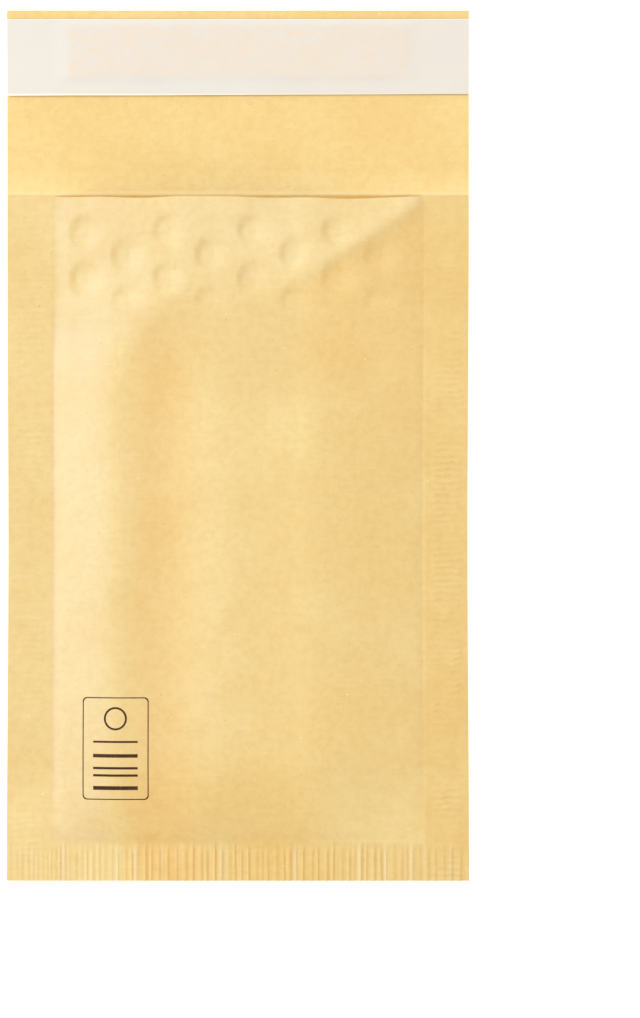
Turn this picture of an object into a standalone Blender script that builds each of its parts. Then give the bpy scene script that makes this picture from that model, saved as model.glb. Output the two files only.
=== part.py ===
"""A small padded mailing envelope, lying on its address side with its flap open.

Metres, +Z up. The flap points along +Y, and the origin is under the middle of the whole envelope,
on the surface that it lies on.
"""

import math

import bmesh
import bpy
from mathutils import Vector
from mathutils.bvhtree import BVHTree
from mathutils.geometry import delaunay_2d_cdt

# Outline of the kraft paper
WIDTH = 0.120
BODY_LENGTH = 0.178
FLAP_LENGTH = 0.048
SIDE_SEAL = 0.0117
BOTTOM_SEAL = 0.0096
WAIST = 0.0004  # how far each side edge is drawn in at mid-length by the padding

# Thicknesses, and the clearance between pieces that lie on each other
PAPER = 0.0003
FILM = 0.0002
ADHESIVE = 0.0002
LINER = 0.0002
SEAT_GAP = 0.0003

# Bubbles of the lining, in straight columns along the length, each column half a pitch off the next
BUBBLE_PITCH = 0.0126
BUBBLE_RADIUS = 0.0052
BUBBLE_HEIGHT = 0.0017
BUBBLE_CLEARANCE = 0.0002
BUBBLE_SIDES = 6
BUBBLE_PROFILE = ((1.0, 0.0), (0.62, 0.78), (0.0, 1.0))  # shares of its radius and its height
FIRST_BUBBLE = 0.0094  # from the mouth to the middle of the first bubble
COLUMN_SHIFT = -0.0007
DENT_DEPTH = 0.00035
DENTED_LENGTH = 0.030

# Form of the padded pocket
POCKET_GAP = 0.0051  # between the two layers of bubbles, in the middle
SEAL_LEVEL = 0.0024  # middle of the seals above the surface that the envelope lies on
MOUTH_LEVEL = 0.0006  # the same at the mouth, where the flap holds them down
SETTLING_LENGTH = 0.070  # from the mouth to where the seals lie at their full level
UPPER_REACH = 0.028
UNDER_REACH = 0.020
LIP_REACH = 0.0024  # width of the lip over the lining's edge, along the seals
LIP_SHARE = 0.25
MOUTH_FULLNESS = 0.94
MOUTH_DRAW = 0.0016  # how far the padding draws the back panel's free edge in
FILM_CORNER = 0.008
FILM_SETBACK = 0.0030

# Crimped seal along the bottom edge
CRIMP_PITCH = 0.0024
CRIMP_HEIGHT = 0.00015
CRIMP_SHARE = 0.85

# Flap and its closure
FLAP_RISE = 0.0015
LINER_HEIGHT = 0.0196
LINER_FROM_EDGE = 0.0023
ADHESIVE_WIDTH = 0.088
ADHESIVE_HEIGHT = 0.013

# Worked out from the sizes above
EDGE = WIDTH / 2
SEAL_LINE = EDGE - SIDE_SEAL
BOTTOM_END = -(BODY_LENGTH + FLAP_LENGTH) / 2
POCKET_END = BOTTOM_END + BOTTOM_SEAL
MOUTH = BOTTOM_END + BODY_LENGTH
FLAP_END = MOUTH + FLAP_LENGTH
LINING = SEAT_GAP + FILM + BUBBLE_HEIGHT
FILM_INSET = LIP_REACH
BODY_HEIGHT = 2 * PAPER + 2 * LINING + DENT_DEPTH + POCKET_GAP
COLUMN_PITCH = BUBBLE_PITCH * math.cos(math.pi / 6)

# Fractions of the reach at which the paper's mesh follows its rounded shoulder
SHOULDER_STEPS = (0.04, 0.0857, 0.19, 0.32, 0.48, 0.7, 0.97)
SIDE_STEPS = SHOULDER_STEPS[:3]
DENT_CELLS = 4  # mesh cells to one bubble pitch where the paper is dented

KRAFT = (0.86, 0.62, 0.30, 1)
CLEAR_FILM = (0.86, 0.90, 0.92, 0.45)
HOT_MELT = (0.88, 0.78, 0.58, 1)
RELEASE_PAPER = (0.90, 0.87, 0.80, 1)


def eased(share):
    """0 to 1, starting and ending level."""
    share = min(max(share, 0.0), 1.0)
    return share * share * (3 - 2 * share)


def quarter_sine(distance, reach):
    return math.sin(math.pi / 2 * min(max(distance / reach, 0.0), 1.0))


def shoulder(distance, reach):
    """Rise of padded paper from a seal: a short lip over the lining's edge, then a gentle slope."""
    lip = quarter_sine(distance, LIP_REACH)
    return LIP_SHARE * lip + (1 - LIP_SHARE) * quarter_sine(distance, reach)


def seal_level(y):
    """Middle of the side seals, low at the mouth and level further on."""
    return MOUTH_LEVEL + (SEAL_LEVEL - MOUTH_LEVEL) * eased((MOUTH - y) / SETTLING_LENGTH)


def upper_share(x, y):
    """How full the back panel stands, from 0 on the seal to 1."""
    past_dents = eased((MOUTH - y - DENTED_LENGTH + BUBBLE_RADIUS) / BUBBLE_PITCH)
    at_mouth = MOUTH_FULLNESS + (1 - MOUTH_FULLNESS) * past_dents
    side = shoulder(SEAL_LINE - abs(x), UPPER_REACH)
    bottom = shoulder(y - POCKET_END, UPPER_REACH)
    return side * bottom * at_mouth


def under_share(x, y):
    """How far the front panel sags to the surface below, from 0 on the seal to 1."""
    side = shoulder(SEAL_LINE - abs(x), UNDER_REACH)
    bottom = shoulder(y - POCKET_END, UNDER_REACH)
    return side * bottom * quarter_sine(MOUTH - y, UNDER_REACH)


def column_offset(index):
    """Every second column of bubbles starts half a pitch further from the mouth."""
    return BUBBLE_PITCH / 2 * (index % 2)


def column_x(index):
    return COLUMN_SHIFT + (index + 0.5) * COLUMN_PITCH


def bubble_columns():
    """Index and x of each column with room for whole bubbles between the side seals."""
    most = int(SEAL_LINE / COLUMN_PITCH) + 1
    room = SEAL_LINE - FILM_INSET - BUBBLE_RADIUS
    return [(i, column_x(i)) for i in range(-most, most) if abs(column_x(i)) < room]


def ceiling(x, y):
    """Inside of the back panel, its dents left out."""
    level = seal_level(y)
    return level + upper_share(x, y) * (BODY_HEIGHT - PAPER - level)


def floor(x, y):
    """Inside of the front panel."""
    level = seal_level(y)
    return level - under_share(x, y) * (level - PAPER)


def ring(x, y, radius):
    """Corners of a bubble at one height."""
    turns = [2 * math.pi * i / BUBBLE_SIDES for i in range(BUBBLE_SIDES)]
    return [(x + radius * math.cos(turn), y + radius * math.sin(turn)) for turn in turns]


def has_room(x, y):
    """Whether a bubble here clears the one that faces it in the other layer."""
    for share, height in BUBBLE_PROFILE:
        needed = 2 * (SEAT_GAP + FILM + BUBBLE_HEIGHT * height) + DENT_DEPTH + BUBBLE_CLEARANCE
        for place in ring(x, y, BUBBLE_RADIUS * share):
            if ceiling(*place) - floor(*place) < needed:
                return False
    return True


def bubble_centres():
    """Middle of each bubble, wherever the pocket is deep enough for two layers of them."""
    centres = []
    for index, x in bubble_columns():
        y = MOUTH - FIRST_BUBBLE - column_offset(index)
        while y > POCKET_END + FILM_INSET + BUBBLE_RADIUS:
            if has_room(x, y):
                centres.append((x, y))
            y -= BUBBLE_PITCH
    return centres


def dent(x, y, centres):
    """Depth of the round hollow that each bubble draws into the back panel near the mouth."""
    nearest = min(math.hypot(x - cx, y - cy) for cx, cy in centres)
    rim = eased((BUBBLE_RADIUS - nearest) / (BUBBLE_RADIUS / 2))
    fade = eased((DENTED_LENGTH - (MOUTH - y)) / BUBBLE_RADIUS)
    return DENT_DEPTH * rim * fade


def waist(y):
    """Share of the full width at a place along the body."""
    along = min(max((y - BOTTOM_END) / BODY_LENGTH, 0.0), 1.0)
    return 1 - WAIST / EDGE * math.sin(math.pi * along) ** 2


def crimp(x, y):
    """Ridges across the bottom seal, uneven from one stretch to the next."""
    unevenness = 0.7 + 0.3 * math.sin(3 * math.pi * x / EDGE)
    fade = eased((POCKET_END - y) / (BOTTOM_SEAL * (1 - CRIMP_SHARE)))
    return CRIMP_HEIGHT * unevenness * fade * math.cos(2 * math.pi * x / CRIMP_PITCH)


def flap_level(y):
    """Inner face of the flap, which rises slightly towards its free edge."""
    return MOUTH_LEVEL + FLAP_RISE * ((y - MOUTH) / FLAP_LENGTH) ** 1.5


def between(first, last, step):
    """Evenly spaced places from first to last, no further apart than step."""
    count = max(1, math.ceil((last - first) / step - 1e-6))
    return [first + (last - first) * i / count for i in range(count + 1)]


def made_object(name, mesh, colour, roughness):
    """Turns one bmesh into a smooth-shaded object of its own material, with its flat areas joined."""
    level = math.radians(0.05)
    bmesh.ops.dissolve_limit(mesh, angle_limit=level, verts=mesh.verts[:], edges=mesh.edges[:])
    data = bpy.data.meshes.new(name)
    mesh.normal_update()
    mesh.to_mesh(data)
    mesh.free()
    data.shade_smooth()
    data.set_sharp_from_angle(angle=math.radians(40))
    material = bpy.data.materials.new(name)
    material.use_nodes = True
    shader = material.node_tree.nodes["Principled BSDF"]
    shader.inputs["Base Color"].default_value = colour
    shader.inputs["Roughness"].default_value = roughness
    shader.inputs["Metallic"].default_value = 0.0
    shader.inputs["Alpha"].default_value = colour[3]
    data.materials.append(material)
    made = bpy.data.objects.new(name, data)
    bpy.context.scene.collection.objects.link(made)
    return made


def add_row(mesh, stations, y, height):
    """Vertices across the envelope, keyed by their station."""
    return {x: mesh.verts.new((x * waist(y), y, height(x, y))) for x in stations}


def join_rows(mesh, near, far, upward):
    """Faces between two rows, as wide as the stations that both rows have."""
    shared = sorted(set(near) & set(far))
    for left, right in zip(shared, shared[1:]):
        near_run = [near[x] for x in sorted(near) if left <= x <= right]
        far_run = [far[x] for x in sorted(far) if left <= x <= right]
        loop = near_run + far_run[::-1]
        mesh.faces.new(loop if upward else loop[::-1])


def join_across(mesh, over, under, forward):
    """Upright faces along a row, from the vertices over to those under them."""
    shared = sorted(set(over) & set(under))
    for left, right in zip(shared, shared[1:]):
        loop = [over[left], over[right], under[right], under[left]]
        mesh.faces.new(loop if forward else loop[::-1])


def join_sides(mesh, over, under):
    """Upright faces along both side edges. over and under are lists of rows, from -Y to +Y."""
    for near, far, near_under, far_under in zip(over, over[1:], under, under[1:]):
        for x, leftward in ((min(near), True), (max(near), False)):
            loop = [near_under[x], near[x], far[x], far_under[x]]
            mesh.faces.new(loop if leftward else loop[::-1])


def side_stations():
    """Places across the seals and the rounded shoulders, on the left and the right."""
    inward = [SEAL_LINE - step * UPPER_REACH for step in SIDE_STEPS]
    right = [EDGE, SEAL_LINE] + inward
    return sorted([-x for x in right] + right)


def lattice_stations(cells):
    """Places across the pocket that fall on the bubble columns, with cells steps to each pitch."""
    columns = [x for _, x in bubble_columns()]
    inner = SEAL_LINE - SIDE_STEPS[-1] * UPPER_REACH
    clear = COLUMN_PITCH / DENT_CELLS / 2
    first = min(columns) - COLUMN_PITCH
    steps = int((max(columns) - first) / COLUMN_PITCH * cells) + 2 * cells
    places = [first + COLUMN_PITCH / cells * i for i in range(steps)]
    return [x for x in places if abs(x) < inner - clear]


def crimp_stations(others):
    """Crests and hollows of the crimp, with the other surfaces' stations among them."""
    half = CRIMP_PITCH / 2
    clear = half / 3
    crests = [half * i for i in range(-int(EDGE / half), int(EDGE / half) + 1)]
    return sorted(others + [x for x in crests if min(abs(x - o) for o in others) > clear])


def body_rows():
    """Places along the pocket: its rounded bottom end, its middle and its dented mouth."""
    bottom = [POCKET_END + step * UPPER_REACH for step in SHOULDER_STEPS]
    cell = BUBBLE_PITCH / DENT_CELLS
    first = FIRST_BUBBLE % cell
    dented = [MOUTH - first - cell * i for i in range(int(DENTED_LENGTH / cell) + 1)]
    middle = between(bottom[-1], dented[-1], BUBBLE_PITCH)[1:-1]
    return [POCKET_END] + bottom + middle + dented[::-1] + [MOUTH]


def kraft_envelope():
    """Front panel with its flap, and back panel, sealed together along three edges.

    Four surfaces share their borders: the outside of the back panel, its inside, the inside of the
    front panel, which runs on over the flap, and the outside of the front panel.
    """
    centres = bubble_centres()
    mesh = bmesh.new()

    def outside_back(x, y):
        if y <= POCKET_END:
            return seal_level(y) + PAPER + crimp(x, y)
        return ceiling(x, y) + PAPER - dent(x, y, centres)

    def inside_back(x, y):
        return outside_back(x, y) - PAPER

    def inside_front(x, y):
        return flap_level(y) if y >= MOUTH else floor(x, y)

    def outside_front(x, y):
        if y <= POCKET_END:
            return seal_level(y) - PAPER + crimp(x, y)
        return inside_front(x, y) - PAPER

    sides = side_stations()
    coarse = sorted(sides + lattice_stations(1))
    fine = sorted(sides + lattice_stations(DENT_CELLS))
    plain = sorted(sides + lattice_stations(1)[:2] + lattice_stations(1)[-2:])
    crimped = crimp_stations(coarse)
    dented_from = MOUTH - DENTED_LENGTH
    seal_rows = [BOTTOM_END, POCKET_END - BOTTOM_SEAL * (1 - CRIMP_SHARE)]
    pocket_rows = body_rows()

    back = [add_row(mesh, crimped, y, outside_back) for y in seal_rows]
    front = [add_row(mesh, crimped, y, outside_front) for y in seal_rows]
    inside = []
    under = []
    for y in pocket_rows:
        stations = fine if y > dented_from else coarse
        back.append(add_row(mesh, stations, y, outside_back))
        front.append(add_row(mesh, plain if y > POCKET_END else coarse, y, outside_front))
        within = [x for x in stations if abs(x) <= SEAL_LINE]
        if y == POCKET_END:
            seam = add_row(mesh, within, y, lambda x, y: seal_level(y))
            inside.append(seam)
            under.append(seam)
            continue
        borders = add_row(mesh, [-SEAL_LINE, SEAL_LINE], y, inside_front)
        if y == MOUTH:
            borders.update(add_row(mesh, [-EDGE, EDGE], y, inside_front))
        ceiling_row = add_row(mesh, within[1:-1], y, inside_back)
        floor_row = add_row(mesh, [x for x in plain if abs(x) < SEAL_LINE], y, inside_front)
        floor_row.update(borders)
        ceiling_row.update({x: borders[x] for x in (-SEAL_LINE, SEAL_LINE)})
        inside.append(ceiling_row)
        under.append(floor_row)

    for row in (back[-1], inside[-1]):
        for x, vertex in row.items():
            vertex.co.y -= MOUTH_DRAW * upper_share(x, MOUTH)

    flap_ys = between(MOUTH, FLAP_END, FLAP_LENGTH / 3)[1:]
    flap = [under[-1]] + [add_row(mesh, plain, y, inside_front) for y in flap_ys]
    flap_under = [front[-1]] + [add_row(mesh, plain, y, outside_front) for y in flap_ys]

    for near, far in zip(back, back[1:]):
        join_rows(mesh, near, far, upward=True)
    for near, far in zip(front + flap_under[1:], (front + flap_under[1:])[1:]):
        join_rows(mesh, near, far, upward=False)
    for near, far in zip(inside, inside[1:]):
        join_rows(mesh, near, far, upward=False)
    for near, far in zip(under + flap[1:], (under + flap[1:])[1:]):
        join_rows(mesh, near, far, upward=True)

    join_across(mesh, back[0], front[0], forward=False)
    join_across(mesh, flap[-1], flap_under[-1], forward=True)
    mouth_edge = dict(inside[-1])
    mouth_edge.update({x: under[-1][x] for x in (-EDGE, EDGE)})
    join_across(mesh, back[-1], mouth_edge, forward=True)
    join_sides(mesh, back[:-1], front[:-1])
    join_sides(mesh, flap, flap_under)
    for x, leftward in ((-EDGE, True), (EDGE, False)):
        loop = [front[-2][x], back[-2][x], back[-1][x], under[-1][x], front[-1][x]]
        mesh.faces.new(loop if leftward else loop[::-1])

    return made_object("kraft_envelope", mesh, KRAFT, 0.8)


def film_outline():
    """Places round the edge of one layer of film, counterclockwise, its lower corners rounded."""
    side = SEAL_LINE - FILM_INSET
    low, high = POCKET_END + FILM_INSET, MOUTH - FILM_SETBACK
    turns = between(-math.pi / 2, 0, math.pi / 6)
    corner = [(FILM_CORNER * math.cos(turn), FILM_CORNER * math.sin(turn)) for turn in turns]
    right = [(side - FILM_CORNER + x, low + FILM_CORNER + y) for x, y in corner]
    right += [(side, y) for y in between(low + FILM_CORNER, high, BUBBLE_PITCH / 2)[1:]]
    left = [(-x, y) for x, y in reversed(right)]
    ends = between(-side, side, BUBBLE_PITCH)[1:-1]
    inner = [x for x in ends if abs(x) < side - FILM_CORNER]
    return [(x, low) for x in inner] + right + [(x, high) for x in reversed(ends)] + left


def spread(outline, places):
    """Triangles over the outline and the places inside it, as indices into both."""
    count = len(outline)
    border = [(i, (i + 1) % count) for i in range(count)]
    points = [Vector(place) for place in outline + places]
    _, _, triangles, sources, _, _ = delaunay_2d_cdt(points, border, [], 1, 1e-7)
    return [[sources[corner][0] for corner in triangle] for triangle in triangles]


def bubble_film(name, seat, away):
    """One layer of film, its flat side on the paper and its bubbles pointing into the pocket.

    seat gives the height of the flat side, and away is +1 where the bubbles point up. The bubbles'
    side is measured from the flat side's own facets, so the film keeps its thickness everywhere.
    """
    mesh = bmesh.new()
    outline = film_outline()
    centres = bubble_centres()
    backing = list(centres)
    for step in (-COLUMN_PITCH / 2, COLUMN_PITCH / 2):
        backing += [(x + step, y) for x, y in centres]
    flat = [(x, y, seat(x, y)) for x, y in outline + backing]
    flat_triangles = spread(outline, backing)
    facets = BVHTree.FromPolygons(flat, flat_triangles)
    shell, lift = [], []
    for share, height in BUBBLE_PROFILE:
        for centre in centres:
            level = ring(*centre, BUBBLE_RADIUS * share) if share else [centre]
            shell += level
            lift += [BUBBLE_HEIGHT * height] * len(level)

    def vertex(x, y, z):
        return mesh.verts.new((x * waist(y), y, z))

    def on_flat_side(x, y):
        above = Vector((x, y, 1))
        return facets.ray_cast(above, Vector((0, 0, -1)))[0].z

    back = [vertex(*place) for place in flat]
    front = [vertex(x, y, seat(x, y) + away * FILM) for x, y in outline]
    for (x, y), rise in zip(shell, lift):
        front.append(vertex(x, y, on_flat_side(x, y) + away * (FILM + rise)))
    for triangle in spread(outline, shell):
        corners = [front[i] for i in triangle]
        mesh.faces.new(corners if away > 0 else corners[::-1])
    for triangle in flat_triangles:
        corners = [back[i] for i in triangle]
        mesh.faces.new(corners[::-1] if away > 0 else corners)
    for i in range(len(outline)):
        j = (i + 1) % len(outline)
        corners = [back[i], back[j], front[j], front[i]]
        mesh.faces.new(corners if away > 0 else corners[::-1])
    return made_object(name, mesh, CLEAR_FILM, 0.25)


def flap_strip(name, width, low, high, base, thickness, colour, roughness):
    """A thin strip across the flap, at a height base above the flap's inner face."""
    mesh = bmesh.new()
    stations = [-width / 2, width / 2]
    ys = between(low, high, FLAP_LENGTH / 8)
    over = [add_row(mesh, stations, y, lambda x, y: flap_level(y) + base + thickness) for y in ys]
    under = [add_row(mesh, stations, y, lambda x, y: flap_level(y) + base) for y in ys]
    for near, far in zip(over, over[1:]):
        join_rows(mesh, near, far, upward=True)
    for near, far in zip(under, under[1:]):
        join_rows(mesh, near, far, upward=False)
    join_across(mesh, over[0], under[0], forward=False)
    join_across(mesh, over[-1], under[-1], forward=True)
    join_sides(mesh, over, under)
    return made_object(name, mesh, colour, roughness)


def closure():
    """Hot-melt strip on the flap, under the release liner that is peeled off to close it."""
    liner_high = FLAP_END - LINER_FROM_EDGE
    liner_low = liner_high - LINER_HEIGHT
    spare = (LINER_HEIGHT - ADHESIVE_HEIGHT) / 4
    melt_high = liner_high - spare
    melt_low = melt_high - ADHESIVE_HEIGHT
    flap_strip(
        "adhesive_strip", ADHESIVE_WIDTH, melt_low, melt_high, SEAT_GAP, ADHESIVE, HOT_MELT, 0.4
    )
    over_melt = SEAT_GAP + ADHESIVE + SEAT_GAP
    flap_strip("release_liner", WIDTH, liner_low, liner_high, over_melt, LINER, RELEASE_PAPER, 0.45)


def clear_scene():
    for obj in list(bpy.data.objects):
        bpy.data.objects.remove(obj)


def main():
    clear_scene()
    kraft_envelope()
    bubble_film("front_bubble_film", lambda x, y: floor(x, y) + SEAT_GAP, 1)
    bubble_film("back_bubble_film", lambda x, y: ceiling(x, y) - DENT_DEPTH - SEAT_GAP, -1)
    closure()


main()
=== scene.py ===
"""Small kraft padded envelope with its flap open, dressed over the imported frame.

The forms repeat the source's sizes at a finer step, in metres: +Y runs from the bottom seal to the
flap's free edge, and +Z up, out of the back panel.
"""

import math

import bpy
import numpy as np
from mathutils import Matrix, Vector


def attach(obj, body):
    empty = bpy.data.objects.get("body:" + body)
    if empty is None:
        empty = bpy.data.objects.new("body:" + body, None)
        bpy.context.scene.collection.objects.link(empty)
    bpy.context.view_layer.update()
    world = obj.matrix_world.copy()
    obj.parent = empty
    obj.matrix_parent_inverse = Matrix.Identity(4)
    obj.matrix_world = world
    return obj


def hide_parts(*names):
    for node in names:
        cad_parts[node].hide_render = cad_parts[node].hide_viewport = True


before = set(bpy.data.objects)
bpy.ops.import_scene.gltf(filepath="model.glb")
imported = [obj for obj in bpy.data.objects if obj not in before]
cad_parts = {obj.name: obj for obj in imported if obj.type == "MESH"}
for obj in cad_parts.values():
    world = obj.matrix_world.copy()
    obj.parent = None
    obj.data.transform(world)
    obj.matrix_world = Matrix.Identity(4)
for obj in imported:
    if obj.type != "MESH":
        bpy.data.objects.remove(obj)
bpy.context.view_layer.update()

# Outline and thicknesses, as in the source
WIDTH = 0.120
BODY_LENGTH = 0.178
FLAP_LENGTH = 0.048
SIDE_SEAL = 0.0117
BOTTOM_SEAL = 0.0096
WAIST = 0.0004
PAPER = 0.0003
FILM = 0.0002
SEAT_GAP = 0.0003
ADHESIVE = 0.0002
BUBBLE_PITCH = 0.0126
BUBBLE_RADIUS = 0.0052
BUBBLE_HEIGHT = 0.0017
BUBBLE_PROFILE = ((1.0, 0.0), (0.62, 0.78), (0.0, 1.0))
FIRST_BUBBLE = 0.0094
COLUMN_SHIFT = -0.0007
DENT_DEPTH = 0.00035
DENTED_LENGTH = 0.030
BODY_HEIGHT = 0.01045
SEAL_LEVEL = 0.0024
MOUTH_LEVEL = 0.0006
SETTLING_LENGTH = 0.070
UPPER_REACH = 0.028
UNDER_REACH = 0.020
LIP_REACH = 0.0024
LIP_SHARE = 0.25
MOUTH_FULLNESS = 0.94
FILM_INSET = 0.0024
FILM_CORNER = 0.008
FILM_SETBACK = 0.0030
BUBBLE_CLEARANCE = 0.0002
FLAP_RISE = 0.0015
LINER_HEIGHT = 0.0196
LINER_FROM_EDGE = 0.0023
ADHESIVE_WIDTH = 0.088
ADHESIVE_HEIGHT = 0.013

EDGE = WIDTH / 2
SEAL_LINE = EDGE - SIDE_SEAL
BOTTOM_END = -(BODY_LENGTH + FLAP_LENGTH) / 2
POCKET_END = BOTTOM_END + BOTTOM_SEAL
MOUTH = BOTTOM_END + BODY_LENGTH
FLAP_END = MOUTH + FLAP_LENGTH
COLUMN_PITCH = BUBBLE_PITCH * math.cos(math.pi / 6)

# Softer form of the visible padding: its edges, then the reach and the firmness of its slopes
SOFT_LIP = 0.10
RIGHT_LIP = 0.2 * SOFT_LIP
BOTTOM_LIP = 0.06
LIP_FADE = 0.9
LIP_SPREAD = 1.5
SOFT_START = 0.0012
LEFT_REACH = 0.0180
LEFT_REACH_AT_MOUTH = 0.034
RIGHT_REACH = 0.032
BOTTOM_REACH = 0.023
LEFT_FIRMNESS = 3
RIGHT_FIRMNESS = 5
BOTTOM_FIRMNESS = 3

# Padding by the mouth: where its form changes, how it sinks, and how far it draws the free edge in
MOUTH_FORM_START = 0.0160
MOUTH_FORM_LENGTH = 0.030
MOUTH_SINK = 0.13
SINK_START = 0.0280
SINK_LENGTH = 0.037
MOUTH_DRAW = 0.0009

# Visible bubbles and film: each bubble's rings and crown, the gap between facing crowns, and the film
BUBBLE_SIDES = 24
BUBBLE_CROWN = 0.6
CROWN_GAP = 0.00005
ROUND_PROFILE = ((1.0, -0.05), (0.97, 0.22), (0.89, 0.50), (0.74, 0.78), (0.52, 0.94), (0.26, 0.99))
FILM_STEP = 0.0018
MOUTH_INSET = 0.0015

# Sagging of the padding: how deep, and how far round its middle
LEFT_SAG = 0.0009
TROUGH_SAG = 0.0015
TROUGH_MIDDLE = -0.0160
TROUGH_SPREAD = 0.0100
BROAD_SAG = 0.0003

# Diagonal fold at the mouth's right end, and its line for the tints: x is lean times y, less offset
FOLD_START = (0.0500, MOUTH + 0.0003)
FOLD_END = (0.0225, MOUTH - 0.0180)
FOLD_DROP = 0.26
FOLD_SOFTNESS = 0.0009
FOLD_RIDGE = 0.00045
FOLD_RIDGE_WIDTH = 0.0032
FOLD_LEAN = 1.53
FOLD_OFFSET = 0.0494

# Hollows of the bubbles, clear near the mouth and faint further down, and the panel's free edge
HOLLOW_DEPTH = 0.00056
HOLLOW_RUN = 0.86
HOLLOW_LEAN = 0.40
FAINT_HOLLOW = 0.00004
EDGE_CURL = 0.00045
LENS_HEIGHT = 0.00032

# Crest of the flap's fold, and the faint crease beyond it
CREST_HEIGHT = 0.00022
CREST_WIDTH = 0.00045
CREASE_FROM_MOUTH = 0.0062
CREASE_DEPTH = 0.00003
CREASE_WIDTH = 0.0009

# Unevenness of the paper, from broad to fine, and waves of the flap
BROAD_COCKLE = 0.00011
SMALL_COCKLE = 0.00006
FINE_COCKLE = 0.000012
BROAD_WAVE = 0.00016
SMALL_WAVE = 0.00004
FINE_WAVE = 0.00001

# Pressed ridges of the bottom seal
RIDGE_PITCH = 0.00190
RIDGE_HEIGHT = 0.00021

# Printed box: its middle and sizes, and for each bar its place above the middle and its width
BOX_MIDDLE = (-0.0316, -0.0784)
BOX_HALF = (0.0086, 0.0133)
BOX_CORNER = 0.0011
BOX_LINE = 0.00026
RING_UP = 0.0078
RING_OUTER = 0.0030
RING_INNER = 0.0025
BAR_HALF = 0.0058
PRINT_LIFT = 0.00003
PRINT_STEP = 0.0008
RING_SIDES = 48
BARS = ((0.0018, 0.0005), (-0.0018, 0.0009), (-0.0050, 0.0006), (-0.0069, 0.0006), (-0.0102, 0.0010))

# Steps of the surfaces: fine where they show, coarse inside the pocket
ACROSS = 0.0003
ALONG = 0.0010
FRONT_ACROSS = 0.00045
FRONT_ALONG = 0.0011
COARSE = 0.0024

# Depth of the panels' rims
RIM = PAPER * 0.95

# Liner: its thickness, and its height over the flap beside the adhesive and on it
LINER = 0.00012
LINER_LIFT = 0.00042
MELT_LIFT = 0.00026

# Studio floor: how far it reaches, and how far it lies under the envelope
FLOOR_REACH = 6.0
FLOOR_DROP = 0.00015

# Light: the surroundings' strength and colour, then each lamp's place, size, power and colour
SURROUNDINGS = 0.755
SURROUNDINGS_COLOUR = (1.06, 1.0, 0.93, 1)
KEY_LIGHT = ((-0.925, 0.40, 0.55), 0.60, 6.8, (0.74, 0.98, 1.27))
FILL_LIGHT = ((0.3, 0.5, 1.2), 0.9, 1.8, (1.0, 1.0, 1.0))

# Camera: its place above the envelope, its lens and its sensor in millimetres
CAMERA_PLACE = (0.0213, -0.0165, 0.9936)
LENS = 135
SENSOR = 36


def eased(share):
    """A smooth step from 0 to 1."""
    share = np.clip(share, 0.0, 1.0)
    return share * share * (3 - 2 * share)


def quarter_sine(distance, reach):
    """From 0 to 1 over the reach, fast at first."""
    return np.sin(np.pi / 2 * np.clip(distance / reach, 0.0, 1.0))


def shoulder(distance, reach):
    """Rise of the source's padding: a short lip, then the slope."""
    lip = quarter_sine(distance, LIP_REACH)
    return LIP_SHARE * lip + (1 - LIP_SHARE) * quarter_sine(distance, reach)


def relief(x, y, size, seed, stretch=1.0):
    """Smooth random relief from -1 to 1, its bumps about size across and size * stretch along."""
    grid = np.random.default_rng(seed).uniform(-1, 1, (256, 256))
    u = x / size + 128.3
    v = y / (size * stretch) + 128.7
    i = np.floor(u).astype(int)
    j = np.floor(v).astype(int)
    a = eased(u - i)
    b = eased(v - j)
    near = grid[i % 256, j % 256] * (1 - a) + grid[(i + 1) % 256, j % 256] * a
    far = grid[i % 256, (j + 1) % 256] * (1 - a) + grid[(i + 1) % 256, (j + 1) % 256] * a
    return near * (1 - b) + far * b


def seal_level(y):
    """Level at which the panels meet in the seals, sloping down to the mouth."""
    return MOUTH_LEVEL + (SEAL_LEVEL - MOUTH_LEVEL) * eased((MOUTH - y) / SETTLING_LENGTH)


def upper_share(x, y):
    """How full the source's padding stands above the seals."""
    past_dents = eased((MOUTH - y - DENTED_LENGTH + BUBBLE_RADIUS) / BUBBLE_PITCH)
    at_mouth = MOUTH_FULLNESS + (1 - MOUTH_FULLNESS) * past_dents
    side = shoulder(SEAL_LINE - np.abs(x), UPPER_REACH)
    bottom = shoulder(y - POCKET_END, UPPER_REACH)
    return side * bottom * at_mouth


def under_share(x, y):
    """How far the source's front panel sinks from the seals to the table."""
    side = shoulder(SEAL_LINE - np.abs(x), UNDER_REACH)
    bottom = shoulder(y - POCKET_END, UNDER_REACH)
    return side * bottom * quarter_sine(MOUTH - y, UNDER_REACH)


def ceiling(x, y):
    """Inside of the back panel as in the source."""
    level = seal_level(y)
    return level + upper_share(x, y) * (BODY_HEIGHT - PAPER - level)


def floor(x, y):
    """Inside of the front panel as in the source."""
    level = seal_level(y)
    return level - under_share(x, y) * (level - PAPER)


def waist(y):
    """Share of the width that is left where the sides draw in."""
    along = np.clip((y - BOTTOM_END) / BODY_LENGTH, 0.0, 1.0)
    return 1 - WAIST / EDGE * np.sin(np.pi * along) ** 2


def flap_level(y):
    """Inner face of the flap, rising slowly towards its free edge."""
    return MOUTH_LEVEL + FLAP_RISE * (np.clip(y - MOUTH, 0, None) / FLAP_LENGTH) ** 1.5


def has_room(x, y):
    """Whether a bubble here clears the one that faces it in the other layer."""
    turns = np.arange(6) * np.pi / 3
    for share, height in BUBBLE_PROFILE:
        px = x + BUBBLE_RADIUS * share * np.cos(turns)
        py = y + BUBBLE_RADIUS * share * np.sin(turns)
        needed = 2 * (SEAT_GAP + FILM + BUBBLE_HEIGHT * height) + DENT_DEPTH + BUBBLE_CLEARANCE
        if np.min(ceiling(px, py) - floor(px, py)) < needed:
            return False
    return True


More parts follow.
